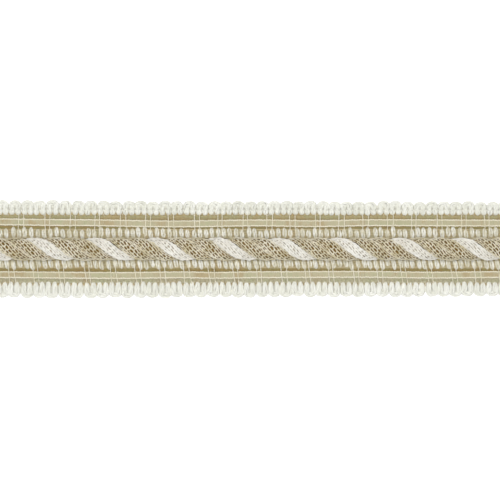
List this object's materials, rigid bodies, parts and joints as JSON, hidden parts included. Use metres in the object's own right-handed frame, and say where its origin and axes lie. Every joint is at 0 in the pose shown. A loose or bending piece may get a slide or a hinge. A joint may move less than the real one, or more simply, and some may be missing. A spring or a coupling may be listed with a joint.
{
  "type": "furnishing braid",
  "caption": "Flat woven furnishing braid with ribbed, scalloped borders, narrow ribbons laid in its channels and a twisted chainette cord along its middle.",
  "frame": {"origin": "centre of the flat back, at its middle along and across the braid", "axes": "+X along the braid, +Y across it towards the upper edge in the picture, +Z out of its face"},
  "size_m": [0.208, 0.0386, 0.0089],
  "materials": {
    "ivory_weft_yarn": "matt soft viscose yarn, woven in ribs",
    "beige_ribbon": "narrow woven viscose ribbon, slight lustre",
    "white_chainette": "matt white knitted chainette",
    "beige_chainette": "open beige knitted chainette"
  },
  "bodies": {
    "root": {"ground_band": "ivory_weft_yarn", "ribbon_upper": "beige_ribbon", "ribbon_lower": "beige_ribbon", "cord_ply_white": "white_chainette", "cord_ply_beige_a": "beige_chainette", "cord_ply_beige_b": "beige_chainette"}
  },
  "joints": []
}
